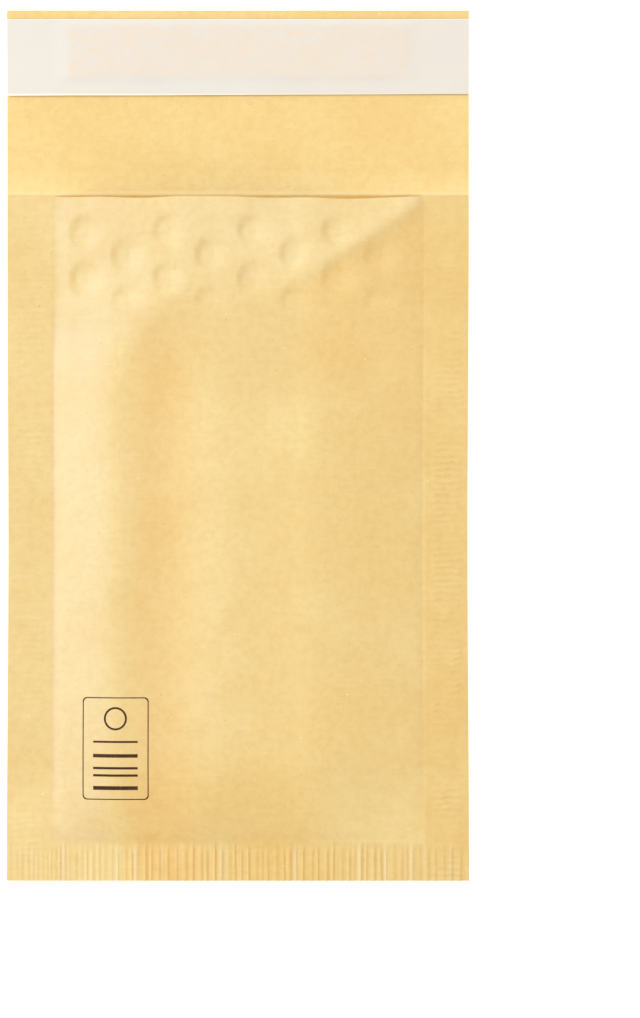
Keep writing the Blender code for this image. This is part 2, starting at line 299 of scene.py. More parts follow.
def bubble_centres():
    """Middle of each bubble that has room in the pocket."""
    centres = []
    for index in range(-5, 5):
        x = COLUMN_SHIFT + (index + 0.5) * COLUMN_PITCH
        if abs(x) > SEAL_LINE - FILM_INSET - BUBBLE_RADIUS:
            continue
        y = MOUTH - FIRST_BUBBLE - BUBBLE_PITCH / 2 * (index % 2)
        while y > POCKET_END + FILM_INSET + BUBBLE_RADIUS:
            if has_room(x, y):
                centres.append((x, y))
            y -= BUBBLE_PITCH
    return centres


CENTRES = bubble_centres()


def rise(distance, reach, firmness):
    """From 0 to 1 over the reach, straight at first and then rounded: firmer is straighter."""
    t = np.clip(distance / reach, 0.0, 1.0)
    return (firmness + 1) / firmness * (t - t ** (firmness + 1) / (firmness + 1))


def near_mouth(y):
    """From 0 on the body to 1 by the mouth."""
    return eased((y - MOUTH_FORM_START) / MOUTH_FORM_LENGTH)


def padding_share(x, y):
    """How full the visible padding stands: a short slope on the left, a long one on the right."""
    inset = np.clip(SEAL_LINE - np.abs(x), 0, None)
    at_mouth = near_mouth(y)
    inset = np.where(x < 0, np.hypot(inset, SOFT_START) - SOFT_START, inset)
    reach = LEFT_REACH + (LEFT_REACH_AT_MOUTH - LEFT_REACH) * at_mouth
    left = rise(inset, reach, LEFT_FIRMNESS)
    side = np.where(x < 0, left, rise(inset, RIGHT_REACH, RIGHT_FIRMNESS))
    lip = np.where(x < 0, SOFT_LIP * (1 - LIP_FADE * at_mouth), RIGHT_LIP)
    side = lip * quarter_sine(inset, LIP_REACH * (1 + LIP_SPREAD * at_mouth)) + (1 - lip) * side
    bottom = rise(y - POCKET_END, BOTTOM_REACH, BOTTOM_FIRMNESS)
    bottom = BOTTOM_LIP * quarter_sine(y - POCKET_END, 2 * LIP_REACH) + (1 - BOTTOM_LIP) * bottom
    return side * bottom * (1 - MOUTH_SINK * eased((y - SINK_START) / SINK_LENGTH))


def sunk(x, y):
    """How much lower than the source's the padding stands between its slopes."""
    leftward = eased((-0.002 - x) / 0.022)
    below_dents = eased((0.044 - y) / 0.026)
    left = LEFT_SAG * leftward * below_dents
    trough = TROUGH_SAG * np.exp(-(((x - TROUGH_MIDDLE) / TROUGH_SPREAD) ** 2))
    trough = trough * eased((0.042 - y) / 0.046) * eased((y - POCKET_END) / 0.020)
    return left + trough + BROAD_SAG * (1 + relief(x, y, 0.034, 64, 1.4))


def mouth_slope(x, y):
    """How much lower the panel lies beside the mouth's right end, up to a diagonal fold."""
    run = np.array(FOLD_END) - np.array(FOLD_START)
    length = np.hypot(*run)
    run = run / length
    along = (x - FOLD_START[0]) * run[0] + (y - FOLD_START[1]) * run[1]
    off = (x - FOLD_START[0]) * run[1] - (y - FOLD_START[1]) * run[0]
    beyond = 0.5 * (off + np.sqrt(off**2 + FOLD_SOFTNESS**2))
    held = eased((length + 0.010 - along) / 0.026) * eased((SEAL_LINE - x) / 0.010)
    crest = np.exp(-((off / FOLD_RIDGE_WIDTH) ** 2)) * eased((length + 0.004 - along) / 0.016)
    return FOLD_DROP * beyond * held - FOLD_RIDGE * crest * eased(along / 0.006)


def soft_ceiling(x, y):
    """Inside of the back panel as it is seen, sagging between its slopes."""
    level = seal_level(y)
    full = BODY_HEIGHT - PAPER - sunk(x, y)
    return level + padding_share(x, y) * (full - level) - mouth_slope(x, y)


def dents(x, y):
    """Round hollows of the bubbles: clear near the mouth, and only just there further down.

    The paper is drawn down sharply on each hollow's left and rises slowly to its right.
    """
    bowl = np.zeros_like(x)
    for cx, cy in CENTRES:
        reach = np.hypot(x - cx, y - cy)
        leftward = (cx - x) / np.maximum(reach, 1e-6)
        run = BUBBLE_RADIUS * (HOLLOW_RUN - HOLLOW_LEAN * leftward)
        deeper = 1.10 + 0.15 * eased((x - 0.008) / 0.008)
        bowl = np.maximum(bowl, eased((BUBBLE_RADIUS * 1.04 - reach) / run) * deeper)
    fade = eased((DENTED_LENGTH + 0.002 - (MOUTH - y)) / 0.009)
    off_edge = eased((MOUTH - y) / 0.004)
    depth = HOLLOW_DEPTH * (1 + 0.2 * relief(x, y, 0.013, 5))
    return bowl * (depth * fade * off_edge + FAINT_HOLLOW)


def mouth_curl(x, y):
    """The panel's free edge bends down towards the flap, unevenly along its length."""
    near = np.exp(-(MOUTH - y) / 0.0022) * eased((SEAL_LINE - np.abs(x)) / 0.01)
    return EDGE_CURL * near * (1 + 0.7 * relief(x, x * 0, 0.010, 62))


def lifted_lens(x, y):
    """The one place near the middle of the mouth where the paper stands up and catches the light."""
    across = eased((x + 0.0070) / 0.0080) * eased((0.0046 - x) / 0.0036)
    along = eased((y - 0.0570) / 0.0040) * (1 - 0.7 * eased((y - 0.0615) / 0.003))
    return LENS_HEIGHT * across * along


def crimp(x, y):
    """Uneven ridges pressed into the bottom seal, weaker and closer together near its left end."""
    rng = np.random.default_rng(11)
    total = np.zeros_like(x)
    place = -EDGE + 0.0006
    while place < EDGE:
        strong = float(eased((place + 0.041) / 0.010))
        width = rng.uniform(0.00024, 0.00046)
        height = RIDGE_HEIGHT * (0.62 + 0.38 * strong) * rng.uniform(0.5, 1.3)
        lean = rng.uniform(-0.02, 0.02)
        start = POCKET_END - rng.uniform(-0.0004, 0.0012)
        off = (x - place - lean * (start - y)) / width
        held = eased((start - y) / 0.0014)
        groove = np.exp(-((off - 1.9) ** 2)) * rng.uniform(0.1, 0.8)
        total = total + height * held * (np.exp(-(off**2)) - groove)
        place += RIDGE_PITCH * (0.78 + 0.22 * strong) * rng.uniform(0.72, 1.25)
    return total


def cockle(x, y):
    """Slight unevenness of the whole sheet."""
    broad = BROAD_COCKLE * relief(x, y, 0.031, 21) + SMALL_COCKLE * relief(x, y, 0.013, 22)
    return broad + FINE_COCKLE * relief(x, y, 0.0028, 23)


def puckers(x, y):
    """Short creases where the pad's fullness is drawn into the bottom seal."""
    total = 0.0
    rng = np.random.default_rng(31)
    for place in np.linspace(-0.045, 0.045, 17):
        middle = place + rng.uniform(-0.002, 0.002)
        width = rng.uniform(0.0008, 0.0018)
        length = rng.uniform(0.003, 0.008)
        depth = rng.uniform(0.00003, 0.00011)
        lean = rng.uniform(-0.25, 0.25)
        up = y - POCKET_END
        held = eased(up / 0.001 + 1) * eased((length - up) / length)
        total = total - depth * held * np.exp(-(((x - middle - lean * up) / width) ** 2))
    return total


def back_top(x, y):
    """Outside of the back panel."""
    in_pocket = eased((y - POCKET_END) / 0.004) * eased((SEAL_LINE - np.abs(x)) / 0.004)
    sealed = seal_level(y) + PAPER
    full = soft_ceiling(x, y) + PAPER
    height = np.where(y <= POCKET_END, sealed, full)
    height = height + (lifted_lens(x, y) - dents(x, y) - mouth_curl(x, y)) * in_pocket
    height = height + cockle(x, y) * (0.12 + 0.88 * in_pocket)
    return height + crimp(x, y) + puckers(x, y) * eased((SEAL_LINE - np.abs(x)) / 0.003)


def front_under(x, y):
    """Outside of the front panel and the flap."""
    inside = np.where(y >= MOUTH, flap_level(y), floor(x, y))
    sealed = seal_level(y)
    height = np.where(y <= POCKET_END, sealed, inside) - PAPER
    lifted = eased(height / 0.0006)
    return height + (crimp(x, y) - 0.00006 * (1 + relief(x, y, 0.017, 41))) * lifted


def flap_wave(x, y):
    """Slight waves of the flap, from its fold on."""
    along = eased((y - MOUTH) / 0.012)
    broad = BROAD_WAVE * relief(x, y, 0.034, 51, 0.8) + SMALL_WAVE * relief(x, y, 0.011, 52)
    return along * (broad + FINE_WAVE * relief(x, y, 0.0025, 53))


def flap_top(x, y):
    """Inner face of the flap, with the crest of its fold beside the mouth and a faint crease above."""
    crest = CREST_HEIGHT * np.exp(-(((y - MOUTH - 0.0003) / CREST_WIDTH) ** 2))
    crease_line = MOUTH + CREASE_FROM_MOUTH + 0.0006 * relief(x, x * 0, 0.02, 54)
    crease = CREASE_DEPTH * np.exp(-(((y - crease_line) / CREASE_WIDTH) ** 2))
    return flap_level(y) + flap_wave(x, y) + crest - crease


def spaced(first, last, step):
    """Even places from first to last, about a step apart."""
    count = max(1, int(round((last - first) / step)))
    return np.linspace(first, last, count + 1)


def linked(name, data, material, body="root"):
    """One finished piece: shaded, with its material, riding on its body."""
    data.shade_smooth()
    data.set_sharp_from_angle(angle=math.radians(38))
    data.materials.append(material)
    piece = bpy.data.objects.new(name, data)
    bpy.context.scene.collection.objects.link(piece)
    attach(piece, body)
    return piece


class Surface:
    """Vertices and faces of one piece, gathered patch by patch."""

    def __init__(self):
        self.places = []
        self.faces = []
        self.count = 0

    def patch(self, xs, ys, height, upward, shift=None):
        """A grid over xs and ys. Returns its vertex numbers, one row for each y."""
        x, y = np.meshgrid(xs, ys)
        z = height(x, y) + np.zeros_like(x)
        px, py = (x * waist(y), y) if shift is None else shift(x, y)
        numbers = np.arange(x.size).reshape(x.shape) + self.count
        self.places.append(np.stack([px, py, z], axis=-1).reshape(-1, 3))
        self.count += x.size
        corners = [numbers[:-1, :-1], numbers[:-1, 1:], numbers[1:, 1:], numbers[1:, :-1]]
        if not upward:
            corners = corners[::-1]
        self.faces += np.stack(corners, axis=-1).reshape(-1, 4).tolist()
        return numbers

    def rim(self, numbers, drop):
        """An upright strip round the edge of a patch, drop lower."""
        loop = list(numbers[0, :]) + list(numbers[1:, -1])
        loop += list(numbers[-1, -2::-1]) + list(numbers[-2:0:-1, 0])
        places = np.concatenate(self.places)[loop].copy()
        places[:, 2] -= drop
        start = self.count
        self.places.append(places)
        self.count += len(loop)
        for i in range(len(loop)):
            j = (i + 1) % len(loop)
            face = [loop[i], start + i, start + j, loop[j]]
            self.faces.append(face if drop > 0 else face[::-1])

    def data(self, name):
        """The finished mesh."""
        made = bpy.data.meshes.new(name)
        made.from_pydata(np.concatenate(self.places).tolist(), [], self.faces)
        made.update()
        return made


# Materials


def tone(red, green, blue):
    """A colour as it looks on a screen, 0 to 255, in linear values."""
    parts = []
    for part in (red, green, blue):
        share = part / 255
        parts.append(share / 12.92 if share <= 0.04045 else ((share + 0.055) / 1.055) ** 2.4)
    return (*parts, 1.0)


class Finish:
    """One material, its nodes added by short calls."""

    def __init__(self, name, roughness):
        self.material = bpy.data.materials.new(name)
        self.material.use_nodes = True
        self.tree = self.material.node_tree
        self.shader = self.tree.nodes["Principled BSDF"]
        self.shader.inputs["Roughness"].default_value = roughness
        self.coordinates = self.tree.nodes.new("ShaderNodeTexCoord").outputs["Object"]
        parts = self.node("ShaderNodeSeparateXYZ", {0: self.coordinates})
        self.x, self.y = parts.outputs[0], parts.outputs[1]

    def node(self, kind, inputs=None, **settings):
        """Adds a node with its settings and its inputs."""
        made = self.tree.nodes.new(kind)
        for key, value in settings.items():
            setattr(made, key, value)
        for key, value in (inputs or {}).items():
            self.put(made.inputs[key], value)
        return made

    def put(self, socket, value):
        """Links a value from another node, or sets a plain one."""
        if isinstance(value, bpy.types.NodeSocket):
            self.tree.links.new(value, socket)
        else:
            socket.default_value = value

    def stretched(self, x, y, z=1.0):
        """Coordinates scaled by a factor each way: a factor under 1 makes long marks."""
        inputs = {"Vector": self.coordinates, "Scale": (x, y, z)}
        return self.node("ShaderNodeMapping", inputs).outputs[0]

    def noise(self, scale, detail=3.0, roughness=0.55, vector=None, distortion=0.0):
        """Soft irregular marks, over the piece's own coordinates unless others are given."""
        inputs = {
            "Vector": self.coordinates if vector is None else vector,
            "Scale": scale,
            "Detail": detail,
            "Roughness": roughness,
            "Distortion": distortion,
        }
        return self.node("ShaderNodeTexNoise", inputs).outputs[0]

    def wave(self, direction, scale, detail_scale=1.0):
        """Distorted parallel bands."""
        inputs = {
            "Vector": self.coordinates,
            "Scale": scale,
            "Distortion": 3.0,
            "Detail": 2.0,
            "Detail Scale": detail_scale,
        }
        return self.node("ShaderNodeTexWave", inputs, bands_direction=direction).outputs["Fac"]

    def math(self, operation, first, second=0.0, third=0.0):
        """One step of arithmetic."""
        made = self.node("ShaderNodeMath", operation=operation)
        for socket, value in zip(made.inputs, (first, second, third)):
            self.put(socket, value)
        return made.outputs[0]

    def product(self, *values):
        """All values multiplied."""
        share = values[0]
        for value in values[1:]:
            share = self.math("MULTIPLY", share, value)
        return share

    def ramp(self, value, low, high, to_low=0.0, to_high=1.0):
        """A soft change from one value to another while the input goes from low to high."""
        inputs = {
            "Value": value,
            "From Min": low,
            "From Max": high,
            "To Min": to_low,
            "To Max": to_high,
        }
        return self.node("ShaderNodeMapRange", inputs, interpolation_type="SMOOTHSTEP").outputs[0]

    def zone(self, share, *limits):
        """A soft-edged area: along each axis the share grows from nothing to full between two places."""
        for axis, start, full in limits:
            share = self.math("MULTIPLY", self.ramp(axis, start, full), share)
        return share

    def mixed(self, share, first, second, blend="MIX"):
        """Two colours mixed, with a share of the second."""
        made = self.node("ShaderNodeMix", data_type="RGBA", blend_type=blend)
        for index, value in ((0, share), (6, first), (7, second)):
            self.put(made.inputs[index], value)
        return made.outputs[2]

    def toned(self, colour, share, factor):
        """The colour multiplied by a factor over a share of the face."""
        return self.mixed(share, colour, self.mixed(1.0, colour, (*factor, 1), "MULTIPLY"))

    def specks(self, scale, size, keep, seed):
        """Small round spots, only a share of the cells having one."""
        place = {"Vector": self.coordinates, "Location": (seed, seed * 0.7, 0)}
        shifted = self.node("ShaderNodeMapping", place).outputs[0]
        cells = self.node("ShaderNodeTexVoronoi", {"Vector": shifted, "Scale": scale})
        spot = self.ramp(cells.outputs["Distance"], size, size * 0.4)
        chosen = self.node("ShaderNodeSeparateColor", {0: cells.outputs["Color"]}).outputs[0]
        return self.math("MULTIPLY", spot, self.math("LESS_THAN", chosen, keep))

    def bump(self, height, distance, strength=1.0, under=None):
        """A fine relief, on top of another where one is given."""
        inputs = {"Height": height, "Distance": distance, "Strength": strength}
        if under is not None:
            inputs["Normal"] = under
        return self.node("ShaderNodeBump", inputs).outputs[0]

    def done(self, colour, normal):
        """Gives the material its colour and its relief."""
        self.put(self.shader.inputs["Base Color"], colour)
        self.put(self.shader.inputs["Normal"], normal)
        return self.material


def kraft_sheet(name, pale, deep):
    """Kraft paper with clouds, mottle, streaks, fibres and specks.

    Returns the finish with its colour, a lighter one for its streaks and for painted highlights, and its
    surface.
    """
    made = Finish(name, 0.5)
    made.shader.inputs["Specular IOR Level"].default_value = 0.75
    made.shader.inputs["Sheen Weight"].default_value = 0.06
    clouds = made.ramp(made.noise(38, 4, 0.6), 0.3, 0.7)
    mottle = made.noise(520, 5, 0.7)
    streaks = made.noise(240, 4, 0.65, made.stretched(0.35, 5.5))
    fibres = made.noise(900, 3, 0.6, made.stretched(1.0, 0.18), 0.6)
    colour = made.mixed(made.ramp(clouds, 0, 1, 0.15, 0.6), pale, deep)
    darker = made.mixed(1.0, colour, (0.90, 0.83, 0.72, 1), "MULTIPLY")
    lighter = made.mixed(0.22, colour, (1.0, 0.97, 0.86, 1))
    colour = made.mixed(made.ramp(mottle, 0.34, 0.62, 0.42, 0.0), colour, darker)
    colour = made.mixed(made.ramp(streaks, 0.5, 0.74, 0.0, 0.26), colour, lighter)
    colour = made.mixed(made.ramp(fibres, 0.6, 0.75, 0.0, 0.3), colour, darker)
    colour = made.mixed(made.specks(310, 0.075, 0.22, 0.31), colour, tone(216, 174, 112))
    colour = made.mixed(made.specks(170, 0.040, 0.16, 0.77), colour, tone(196, 152, 98))
    colour = made.mixed(made.specks(240, 0.06, 0.16, 0.53), colour, tone(252, 240, 206))
    surface = made.math("ADD", mottle, made.math("MULTIPLY", streaks, 0.8))
    normal = made.bump(surface, 0.00005, 0.55)
    normal = made.bump(fibres, 0.00002, 0.4, normal)
    made.put(made.shader.inputs["Roughness"], made.ramp(mottle, 0.3, 0.7, 0.46, 0.56))
    return made, colour, lighter, normal


def pressed_margins(made, normal):
    """Fine marks of the pressing wheels along both side seals, stronger on the right."""
    x, y = made.x, made.y
    inset = made.math("ABSOLUTE", x)
    band = made.zone(
        made.ramp(made.noise(55, 2, 0.5), 0.42, 0.62),
        (inset, SEAL_LINE + 0.0016, SEAL_LINE + 0.0030),
        (inset, EDGE - 0.0014, EDGE - 0.0030),
        (y, MOUTH - 0.004, MOUTH - 0.012),
    )
    band = made.product(band, made.ramp(x, -0.02, 0.02, 0.55, 1.0))
    ticks = made.wave("Y", 185.0, 1.4)
    hatch = made.wave("DIAGONAL", 150.0)
    pressed = made.product(band, made.math("ADD", ticks, made.math("MULTIPLY", hatch, 0.6)))
    return made.bump(pressed, 0.00012, 0.8, normal)


def painted_shading_and_seal_tone(made, sealed):
    """Painted light and shade on the outer kraft, each area with its factor for the colour: paler where
    the padding faces the light, deeper and warmer where it turns away; over the seals a deeper ochre that
    fades out to the left.
    """
    x, y = made.x, made.y
    off_fold = made.math("MULTIPLY_ADD", y, -FOLD_LEAN, made.math("ADD", x, FOLD_OFFSET))
    before_fold = (off_fold, 0.003, -0.004)
    panel = made.math("SUBTRACT", 1.0, sealed)
    seals = made.product(sealed, made.ramp(x, -0.045, 0.02, 0.1, 1.0))
    trough = made.zone(1.0, (x, -0.031, -0.023), (x, -0.006, -0.018), (y, 0.040, 0.020))
    above_trough = made.zone(1.0, (x, -0.036, -0.028), (x, -0.008, -0.018))
    above_trough = made.zone(above_trough, (y, 0.016, 0.026), (y, 0.040, 0.030))
    above_bright_slope = made.zone(panel, (x, -0.026, -0.034), (y, 0.018, 0.026), (y, 0.038, 0.032))
    beyond_fold = made.zone(panel, (off_fold, 0.0, 0.006), (x, 0.012, 0.024), (y, 0.0, 0.025))
    right_side = made.zone(panel, (x, -0.010, 0.020), (y, 0.025, 0.0))
    by_mouth = made.zone(1.0, (x, -0.040, -0.010), (y, 0.030, 0.050), before_fold)
    by_mouth_right = made.zone(1.0, (x, 0.0, 0.020), (y, 0.030, 0.045), before_fold)
    by_mouth_left = made.zone(panel, (x, -0.016, -0.032), (y, 0.024, 0.036))
    bright_slope = made.zone(panel, (x, -0.030, -0.038), (y, 0.036, 0.026))
    bottom_left = made.zone(1.0, (x, -0.026, -0.036), (y, -0.078, -0.095))
    bottom_middle = made.zone(1.0, (x, -0.036, -0.028), (x, 0.030, 0.010), (y, -0.078, -0.092))
    return (
        # A deeper ochre over the seals, fading out towards the left.
        (seals, (0.98, 0.93, 0.80)),
        # Painted shade: a deeper, warmer tone in the trough, above it and beside the bright slope.
        (trough, (1.015, 0.945, 0.86)),
        (above_trough, (0.98, 0.975, 0.975)),
        (above_bright_slope, (0.965, 0.96, 0.955)),
        # Painted shade: warmer and deeper past the diagonal fold.
        (beyond_fold, (1.05, 1.01, 0.92)),
        # Painted light: the right side of the padding paler.
        (right_side, (1.045, 1.055, 1.03)),
        # Painted highlight: paler and cooler by the mouth, with painted shade on the mouth's left.
        (by_mouth, (1.01, 1.03, 1.14)),
        (by_mouth_right, (1.035, 1.06, 1.08)),
        (by_mouth_left, (0.935, 0.925, 0.94)),
        # Painted sheen: whiter and cooler on the bright left slope.
        (bright_slope, (0.97, 0.972, 1.075)),
        # Painted light at the bottom left, and painted shade, warmer, at the bottom middle.
        (bottom_left, (1.04, 1.045, 1.05)),
        (bottom_middle, (1.01, 0.985, 0.90)),
    )


def outside_finish():
    """Outer kraft with its pressed seals toned deeper, painted light and shade over the padding, and
    painted highlights along the bottom seal's pressed lines.
    """
    pale, deep = tone(242, 214, 147), tone(235, 198, 122)
    made, colour, lighter, normal = kraft_sheet("kraft_outside", pale, deep)
    on_side = made.ramp(made.math("ABSOLUTE", made.x), SEAL_LINE - 0.0006, SEAL_LINE + 0.0008)
    on_side = made.product(on_side, made.math("LESS_THAN", made.y, MOUTH))
    on_bottom = made.ramp(made.y, POCKET_END + 0.0010, POCKET_END - 0.0006)
    # Painted light and shade over the padding, and the seals' deeper tone.
    for share, factor in painted_shading_and_seal_tone(made, made.math("MAXIMUM", on_side, on_bottom)):
        colour = made.toned(colour, share, factor)
    normal = pressed_margins(made, normal)
    lines = made.noise(430, 2, 0.5, made.stretched(1.0, 0.045))
    normal = made.bump(made.product(lines, on_bottom), 0.00012, 0.6, normal)
    # Painted highlight: the bottom seal paler along its pressed lines.
    ridges = made.product(made.ramp(lines, 0.52, 0.68), on_bottom, 0.35)
    colour = made.mixed(ridges, colour, lighter)
    return made.done(colour, normal)


def inner_face_finish():
    """Inner kraft of the flap: painted light beside its fold, a painted highlight on the fold's crest, and
    painted shade in deep ochre down in the mouth.
    """
    pale, deep = tone(249, 216, 140), tone(243, 202, 120)
    made, colour, lighter, normal = kraft_sheet("kraft_inner_face", pale, deep)
    y = made.y
    # Painted light: the flap paler and cooler for a few millimetres beside its fold.
    wear_and_painted_light = made.zone(made.ramp(y, MOUTH, MOUTH + 0.0004), (y, MOUTH + 0.0075, MOUTH + 0.0010))
    colour = made.toned(colour, wear_and_painted_light, (1.05, 1.085, 1.18))
    # Painted highlight along the crest of the fold.
    crest = made.zone(made.ramp(y, MOUTH, MOUTH + 0.0002), (y, MOUTH + 0.0007, MOUTH + 0.0004))
    colour = made.mixed(made.product(crest, 0.6), colour, lighter)
    # Painted shade: deep ochre where the flap runs down into the mouth.
    painted_shade_in_mouth = made.ramp(y, MOUTH + 0.0001, MOUTH - 0.0002)
    colour = made.toned(colour, painted_shade_in_mouth, (1.04, 0.89, 0.62))
    return made.done(colour, normal)


def melt_area(made):
    """Where the adhesive shows through the liner, with an uneven outline."""
    wobble = made.math("MULTIPLY", made.math("SUBTRACT", made.noise(150, 3, 0.6), 0.5), 0.0022)
    half = ADHESIVE_WIDTH / 2
    low, high = melt_span()
    across = made.math("ADD", made.math("ABSOLUTE", made.x), wobble)
    along = made.math("ADD", made.y, wobble)
    within = made.ramp(across, half + 0.0012, half - 0.0008)
    return made.zone(within, (along, low - 0.0010, low + 0.0010), (along, high + 0.0008, high - 0.0008))


def liner_finish():
    """Release paper, silky and just see-through enough to show the adhesive's warmth."""
    made = Finish("release_paper", 0.42)
    made.shader.inputs["Specular IOR Level"].default_value = 0.4
    within = melt_area(made)
    pools = made.ramp(made.noise(120, 4, 0.65), 0.35, 0.7, 0.45, 1.0)
    clouds = made.ramp(made.noise(60, 3), 0.3, 0.7, 0.0, 0.55)
    colour = made.mixed(clouds, tone(236, 228, 214), tone(233, 224, 212))
    colour = made.mixed(made.product(within, pools), colour, tone(238, 223, 204))
    flecks = made.ramp(made.noise(420, 5, 0.75, made.stretched(0.6, 1.3)), 0.50, 0.66, 0.0, 0.9)
    colour = made.mixed(made.product(flecks, within), colour, tone(242, 221, 194))
    fine = made.noise(700, 3, 0.6)
    colour = made.mixed(made.ramp(fine, 0.55, 0.75, 0.0, 0.18), colour, tone(226, 219, 208))
    low, high = liner_span()
    # Painted highlight: a pale cream line along both cut edges of the raised liner.
    low_edge = made.ramp(made.y, low + 0.0005, low + 0.0001)
    high_edge = made.ramp(made.y, high - 0.0003, high - 0.0001)
    colour = made.mixed(made.math("MAXIMUM", low_edge, high_edge), colour, tone(250, 244, 224))
    normal = made.bump(made.product(within, made.noise(260, 3, 0.6)), 0.00018, 0.5)
    normal = made.bump(fine, 0.00002, 0.35, normal)
    made.put(made.shader.inputs["Roughness"], made.ramp(fine, 0.3, 0.7, 0.36, 0.5))
    return made.done(colour, normal)


def adhesive_finish():
    """Streaky, glossy hot melt."""
    made = Finish("hot_melt", 0.3)
    made.shader.inputs["Specular IOR Level"].default_value = 0.5
    made.shader.inputs["Subsurface Weight"].default_value = 0.15
    made.shader.inputs["Subsurface Radius"].default_value = (0.002, 0.0015, 0.001)
    streaks = made.noise(180, 4, 0.6, made.stretched(0.25, 2.2), 0.8)
    colour = made.mixed(made.ramp(streaks, 0.35, 0.7), tone(236, 214, 168), tone(222, 190, 134))
    normal = made.bump(streaks, 0.00020, 0.7)
    made.put(made.shader.inputs["Roughness"], made.ramp(streaks, 0.3, 0.7, 0.22, 0.4))
    return made.done(colour, normal)


def film_finish():
    """Clear bubble film, slightly milky and glossy."""
    made = Finish("bubble_film", 0.16)
    shader = made.shader
    shader.inputs["Specular IOR Level"].default_value = 0.6
    shader.inputs["IOR"].default_value = 1.5
    shader.inputs["Alpha"].default_value = 0.66
    crinkle = made.noise(420, 4, 0.6, distortion=0.7)
    haze = made.ramp(made.noise(90, 3), 0.3, 0.7)
    colour = made.mixed(haze, tone(248, 243, 230), tone(254, 251, 241))
    normal = made.bump(crinkle, 0.00008, 0.5)
    made.put(shader.inputs["Roughness"], made.ramp(crinkle, 0.3, 0.75, 0.1, 0.3))
    return made.done(colour, normal)


def ink_finish():
    """Dark brown print that has sunk slightly into the paper."""
    made = Finish("printing_ink", 0.7)
    made.shader.inputs["Specular IOR Level"].default_value = 0.2
    wear_and_painted_light = made.ramp(made.noise(1500, 3, 0.7), 0.5, 0.72, 0.0, 0.5)
    colour = made.mixed(wear_and_painted_light, tone(72, 44, 26), tone(124, 86, 52))
    normal = made.bump(made.noise(900, 3), 0.00002, 0.4)
    return made.done(colour, normal)


def floor_finish():
    """Pale studio ground with a slight glow, so that no shadow tints it."""
    made = Finish("studio_floor", 0.9)
    made.shader.inputs["Specular IOR Level"].default_value = 0.1
    made.shader.inputs["Emission Color"].default_value = (1, 1, 1, 1)
    made.shader.inputs["Emission Strength"].default_value = 0.5
    shade = made.ramp(made.noise(6, 2), 0.3, 0.7)
    colour = made.mixed(shade, (0.93, 0.93, 0.93, 1), (0.95, 0.95, 0.95, 1))
    return made.done(colour, made.bump(made.noise(300, 2), 0.00001, 0.2))


# Pieces


def liner_span():
    """Where the liner starts and ends along the flap."""
    high = FLAP_END - LINER_FROM_EDGE
    return high - LINER_HEIGHT, high


def melt_span():
    """Where the adhesive starts and ends along the flap."""
    top = liner_span()[1] - (LINER_HEIGHT - ADHESIVE_HEIGHT) / 4
    return top - ADHESIVE_HEIGHT, top


def drawn_in(x, y):
    """The back panel's free edge is drawn in by the padding, most of all in the middle."""
    pull = MOUTH_DRAW * upper_share(x, MOUTH) * eased(1 - (MOUTH - y) / 0.010)
    pull = pull * (1 + 0.45 * relief(x, x * 0, 0.011, 61))
    return x * waist(y), y - pull


def back_panel(material):
    """The padded upper side, its free edge drawn in."""
    made = Surface()
    xs = spaced(-EDGE, EDGE, ACROSS)
    top = made.patch(xs, spaced(BOTTOM_END, MOUTH, ALONG), back_top, True, drawn_in)
    made.rim(top, RIM)
    coarse = spaced(-EDGE, EDGE, COARSE)
    rows = spaced(BOTTOM_END, MOUTH, COARSE)

    def lining_side(x, y):
        return back_top(x, y) - RIM

    made.patch(coarse, rows, lining_side, False, drawn_in)
    return linked("back_panel", made.data("back_panel"), material)


def front_panel(material):
    """The underside, from the bottom seal to the flap's free edge."""
    made = Surface()
    xs = spaced(-EDGE, EDGE, FRONT_ACROSS)
    under = made.patch(xs, spaced(BOTTOM_END, FLAP_END, FRONT_ALONG), front_under, False)
    made.rim(under, -RIM)
    coarse = spaced(-EDGE, EDGE, COARSE)
    rows = spaced(BOTTOM_END, MOUTH, COARSE)

    def pocket_side(x, y):
        return front_under(x, y) + RIM

    made.patch(coarse, rows, pocket_side, True)
    return linked("front_panel", made.data("front_panel"), material)


def flap(material):
    """Inner face of the flap, reaching a little way into the mouth."""
    made = Surface()
    rows = spaced(MOUTH - 0.0026, FLAP_END, 0.0004)
    top = made.patch(spaced(-EDGE, EDGE, 0.0008), rows, flap_top, True)
    made.rim(top, PAPER * 0.5)
    return linked("flap_inner_face", made.data("flap_inner_face"), material)


def flap_strip(name, material, width, low, high, height, thickness, shift):
    """A thin strip across the flap, from low to high, with its top at the given height."""
    made = Surface()
    xs = spaced(-width / 2, width / 2, 0.001)
    ys = spaced(low, high, 0.0005)
    top = made.patch(xs, ys, height, True, shift)
    made.rim(top, thickness)
    made.patch(xs[::2], ys[::2], lambda x, y: height(x, y) - thickness, False, shift)
    return linked(name, made.data(name), material)


def adhesive(material):
    """Hot melt with ragged long edges."""
    low, high = melt_span()

    def height(x, y):
        bead = 0.00003 * relief(x, y, 0.0016, 71, 3) + 0.00003 * relief(x, y, 0.005, 72)
        return flap_top(x, y) + SEAT_GAP * 0.4 + ADHESIVE + bead

    def ragged(x, y):
        return x * waist(y), y + 0.0004 * relief(x, y * 0, 0.003, 73)

    return flap_strip("adhesive_strip_melt", material, ADHESIVE_WIDTH, low, high, height, ADHESIVE, ragged)


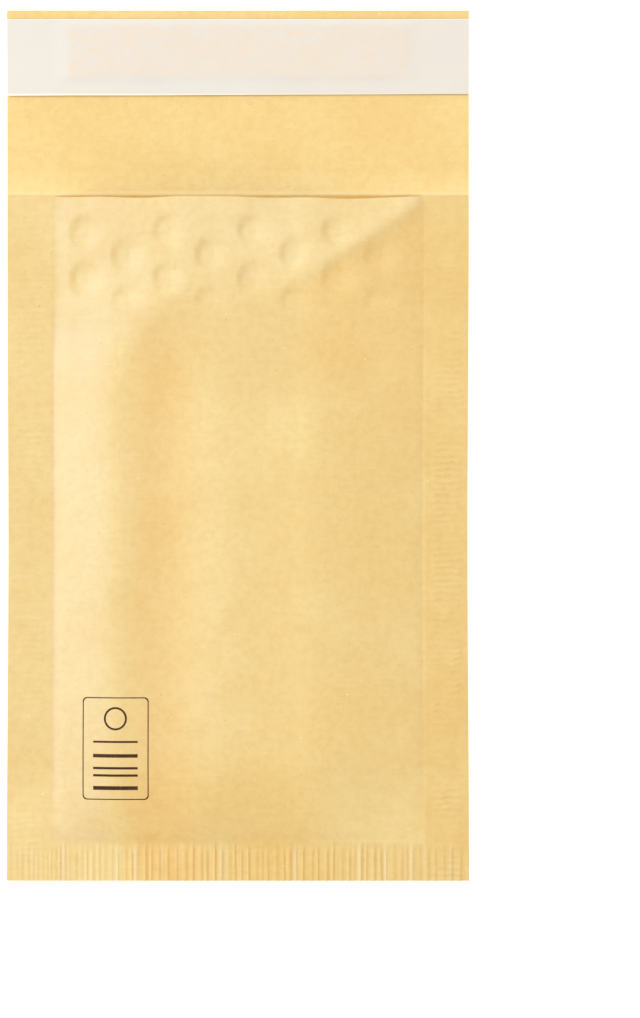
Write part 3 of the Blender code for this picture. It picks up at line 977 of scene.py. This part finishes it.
def liner(material):
    """Release liner, raised over the adhesive and loose beside it."""
    low, high = liner_span()
    melt_low, melt_high = melt_span()

    def height(x, y):
        over = eased((ADHESIVE_WIDTH / 2 + 0.004 - np.abs(x)) / 0.004)
        over = over * eased((y - melt_low + 0.002) / 0.002) * eased((melt_high + 0.002 - y) / 0.002)
        wave = 0.00005 * relief(x, y, 0.018, 81) + 0.00003 * relief(x, y, 0.006, 82) * (1 - over)
        loose = 0.00010 * (1 - over) * (1 + relief(x, y * 0, 0.022, 83))
        return flap_top(x, y) + LINER_LIFT + MELT_LIFT * over + wave + loose

    def cut(x, y):
        share = (y - low) / (high - low)
        tilt = 0.00025 * x / EDGE
        return x * 0.9995, y + tilt * (1 - share) + 0.00005 * relief(x, y * 0, 0.02, 84)

    return flap_strip("release_liner_strip", material, WIDTH, low, high, height, LINER, cut)


def lower_seat(x, y):
    """Where the lower film's flat side lies."""
    return floor(x, y) + SEAT_GAP


def upper_seat(x, y):
    """Where the upper film's flat side lies, clear of the hollows."""
    return soft_ceiling(x, y) - 2 * DENT_DEPTH * eased((SEAL_LINE - np.abs(x)) / 0.006) - SEAT_GAP


def bubble_room(x, y):
    """Height that two facing bubbles leave each other, where the padding presses them flat."""
    turns = np.arange(8) * np.pi / 4
    px = x + BUBBLE_RADIUS * BUBBLE_CROWN * np.cos(turns)
    py = y + BUBBLE_RADIUS * BUBBLE_CROWN * np.sin(turns)
    free = np.min(upper_seat(px, py) - lower_seat(px, py)) - 2 * FILM
    return min(BUBBLE_HEIGHT, free / 2 - CROWN_GAP)


def film_outline(x, y):
    """Draws the film's lower corners in to a round outline, and its sides in a little at the mouth."""
    side = SEAL_LINE - FILM_INSET
    low = POCKET_END + FILM_INSET
    depth = np.clip(low + FILM_CORNER - y, 0, FILM_CORNER)
    half = side - FILM_CORNER + np.sqrt(np.maximum(FILM_CORNER**2 - depth**2, 0))
    half = half - MOUTH_INSET * near_mouth(y)
    return x * half / side * waist(y), y


def bubble(made, seat, away, cx, cy, height):
    """One round bubble, built up in rings from the film to its peak."""
    turns = np.arange(BUBBLE_SIDES) * 2 * np.pi / BUBBLE_SIDES
    places = []
    for share, lift in ROUND_PROFILE:
        x = cx + BUBBLE_RADIUS * share * np.cos(turns)
        y = cy + BUBBLE_RADIUS * share * np.sin(turns)
        z = seat(x, y) + away * (FILM + height * lift)
        places.append(np.stack([x * waist(y), y, z], axis=-1))
    peak = seat(np.array(cx), np.array(cy)) + away * (FILM + height)
    places.append(np.array([[cx * float(waist(cy)), cy, float(peak)]]))
    start = made.count
    made.places.append(np.concatenate(places))
    made.count += BUBBLE_SIDES * len(ROUND_PROFILE) + 1
    faces = []
    for level in range(len(ROUND_PROFILE) - 1):
        ring, above = start + level * BUBBLE_SIDES, start + (level + 1) * BUBBLE_SIDES
        for i in range(BUBBLE_SIDES):
            j = (i + 1) % BUBBLE_SIDES
            faces.append([ring + i, ring + j, above + j, above + i])
    last = start + (len(ROUND_PROFILE) - 1) * BUBBLE_SIDES
    for i in range(BUBBLE_SIDES):
        faces.append([last + i, last + (i + 1) % BUBBLE_SIDES, last + BUBBLE_SIDES])
    made.faces += faces if away > 0 else [face[::-1] for face in faces]


def film_layer(name, material, seat, away):
    """Film with round bubbles, its flat side on the paper."""
    made = Surface()
    side = SEAL_LINE - FILM_INSET
    xs = spaced(-side, side, FILM_STEP)
    ys = spaced(POCKET_END + FILM_INSET, MOUTH - FILM_SETBACK, FILM_STEP)

    def flat_face(x, y):
        px, py = film_outline(x, y)
        return seat(px, py)

    def inner_face(x, y):
        return flat_face(x, y) + away * FILM

    made.patch(xs, ys, flat_face, away < 0, film_outline)
    inner = made.patch(xs, ys, inner_face, away > 0, film_outline)
    made.rim(inner, away * FILM)
    for index, (cx, cy) in enumerate(CENTRES):
        unevenness = 0.92 + 0.08 * math.sin(index * 12.9898)
        bubble(made, seat, away, cx, cy, bubble_room(cx, cy) * unevenness)
    return linked(name, made.data(name), material)


def print_height(x, y):
    """Just clear of the back panel."""
    return back_top(x, y) + PRINT_LIFT


def printed_line(made, outer, inner):
    """A closed line between two loops of places."""
    places = np.array(outer + inner)
    x, y = places[:, 0], places[:, 1]
    start = made.count
    made.places.append(np.stack([x * waist(y), y, print_height(x, y)], axis=-1))
    made.count += len(places)
    count = len(outer)
    for i in range(count):
        j = (i + 1) % count
        made.faces.append([start + i, start + j, start + count + j, start + count + i])


def box_outline():
    """Places round the printed box, close enough together to follow the paper."""
    middle_x, middle_y = BOX_MIDDLE
    half_x, half_y = BOX_HALF
    places = []
    for sign_x, sign_y, first in ((1, 1, 0.0), (-1, 1, 0.5), (-1, -1, 1.0), (1, -1, 1.5)):
        for step in range(7):
            turn = math.pi * (first + step / 12)
            px = middle_x + sign_x * (half_x - BOX_CORNER) + BOX_CORNER * math.cos(turn)
            py = middle_y + sign_y * (half_y - BOX_CORNER) + BOX_CORNER * math.sin(turn)
            places.append((px, py))
    dense = []
    for (ax, ay), (bx, by) in zip(places, places[1:] + places[:1]):
        parts = max(1, int(math.hypot(bx - ax, by - ay) / PRINT_STEP))
        dense += [(ax + (bx - ax) * k / parts, ay + (by - ay) * k / parts) for k in range(parts)]
    return dense


def printed_box(material):
    """A plain outlined box with a ring and a few bars, low on the back panel."""
    made = Surface()
    middle_x, middle_y = BOX_MIDDLE
    share_x = 1 - BOX_LINE / BOX_HALF[0]
    share_y = 1 - BOX_LINE / BOX_HALF[1]
    outer = box_outline()
    inner = []
    for px, py in outer:
        inner.append((middle_x + (px - middle_x) * share_x, middle_y + (py - middle_y) * share_y))
    printed_line(made, outer, inner)
    ring_y = middle_y + RING_UP
    rings = []
    for radius in (RING_OUTER, RING_INNER):
        turns = [2 * math.pi * i / RING_SIDES for i in range(RING_SIDES)]
        rings.append([(middle_x + radius * math.cos(t), ring_y + radius * math.sin(t)) for t in turns])
    printed_line(made, *rings)
    for up, tall in BARS:
        xs = spaced(middle_x - BAR_HALF, middle_x + BAR_HALF, 0.0006)
        ys = spaced(middle_y + up - tall / 2, middle_y + up + tall / 2, 0.0005)
        made.patch(xs, ys, print_height, True)
    return linked("printed_box", made.data("printed_box"), material)


def pieces():
    """Every visible piece, with the nodes that it replaces."""
    outside = outside_finish()
    inner_face = inner_face_finish()
    back = back_panel(outside)
    front = front_panel(outside)
    inner = flap(inner_face)
    for piece in (back, front, inner):
        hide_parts("kraft_envelope")
    film = film_finish()
    lower = film_layer("front_panel_bubbles", film, lower_seat, 1)
    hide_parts("front_bubble_film")
    upper = film_layer("back_panel_bubbles", film, upper_seat, -1)
    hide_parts("back_bubble_film")
    melt = adhesive(adhesive_finish())
    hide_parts("adhesive_strip")
    strip = liner(liner_finish())
    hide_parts("release_liner")
    printed_box(ink_finish())


# Studio


def aimed(obj, place, target):
    """Puts a lamp at its place, facing the target."""
    obj.location = place
    obj.rotation_euler = (Vector(target) - Vector(place)).to_track_quat("-Z", "Y").to_euler()


def area_light(name, place, size, power, colour):
    """A round lamp that faces the envelope."""
    data = bpy.data.lights.new(name, "AREA")
    data.color = colour
    data.shape = "DISK"
    data.size = size
    data.energy = power
    light = bpy.data.objects.new(name, data)
    bpy.context.scene.collection.objects.link(light)
    aimed(light, place, (0, 0, 0))


def studio():
    """Pale floor, warm soft surroundings and a cool soft key light from the left."""
    ground = Surface()
    ends = np.array([-FLOOR_REACH, FLOOR_REACH])
    ground.patch(ends, ends, lambda x, y: x * 0 - FLOOR_DROP, True, lambda x, y: (x, y))
    data = ground.data("studio_floor")
    data.materials.append(floor_finish())
    plane = bpy.data.objects.new("studio_floor", data)
    bpy.context.scene.collection.objects.link(plane)
    world = bpy.data.worlds.new("studio")
    world.use_nodes = True
    background = world.node_tree.nodes["Background"]
    background.inputs["Color"].default_value = SURROUNDINGS_COLOUR
    background.inputs["Strength"].default_value = SURROUNDINGS
    bpy.context.scene.world = world
    area_light("key", *KEY_LIGHT)
    area_light("fill", *FILL_LIGHT)
    settings = bpy.context.scene.view_settings
    settings.view_transform = "Standard"
    settings.look = "None"


def camera():
    """Looks straight down, with the photograph's frame."""
    data = bpy.data.cameras.new("camera")
    data.lens = LENS
    data.sensor_width = SENSOR
    data.sensor_height = SENSOR
    data.sensor_fit = "VERTICAL"
    data.clip_start = 0.01
    made = bpy.data.objects.new("camera", data)
    bpy.context.scene.collection.objects.link(made)
    made.location = CAMERA_PLACE
    made.rotation_euler = (0, 0, 0)
    bpy.context.scene.camera = made


pieces()
studio()
camera()
